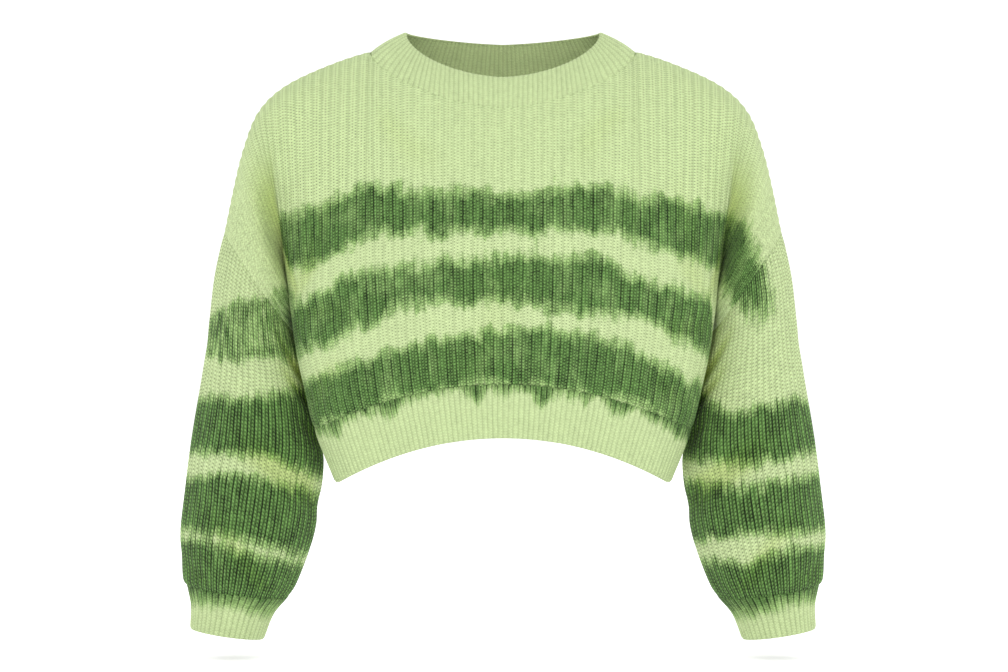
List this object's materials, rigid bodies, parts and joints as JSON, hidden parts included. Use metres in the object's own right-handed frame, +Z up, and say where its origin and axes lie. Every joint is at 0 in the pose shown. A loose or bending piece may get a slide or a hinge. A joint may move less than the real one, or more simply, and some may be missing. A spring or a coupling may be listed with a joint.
{
  "type": "cropped jumper",
  "caption": "Cropped rib-knit jumper with dropped shoulders, a crew neck and balloon sleeves, filled out as worn.",
  "frame": {"origin": "midway between the high shoulder points, where the shoulder seams meet the neckband, in the plane of the shoulder and side seams", "axes": "+Z up, the jumper's front faces -Y, +X towards the wearer's left"},
  "size_m": [0.6488, 0.1977, 0.6078],
  "materials": {
    "panel_knit": "matte wool-blend rib knit, light yellow-green with dark green dye",
    "sleeve_knit": "matte wool-blend rib knit, dark green dye with light green stripes",
    "band_knit": "matte fine rib knit, light yellow-green"
  },
  "bodies": {
    "root": {"front_panel": "panel_knit", "back_panel": "panel_knit", "sleeve_left": "sleeve_knit", "sleeve_right": "sleeve_knit", "neckband": "band_knit", "hem_band": "band_knit", "cuff_left": "band_knit", "cuff_right": "band_knit"}
  },
  "joints": []
}
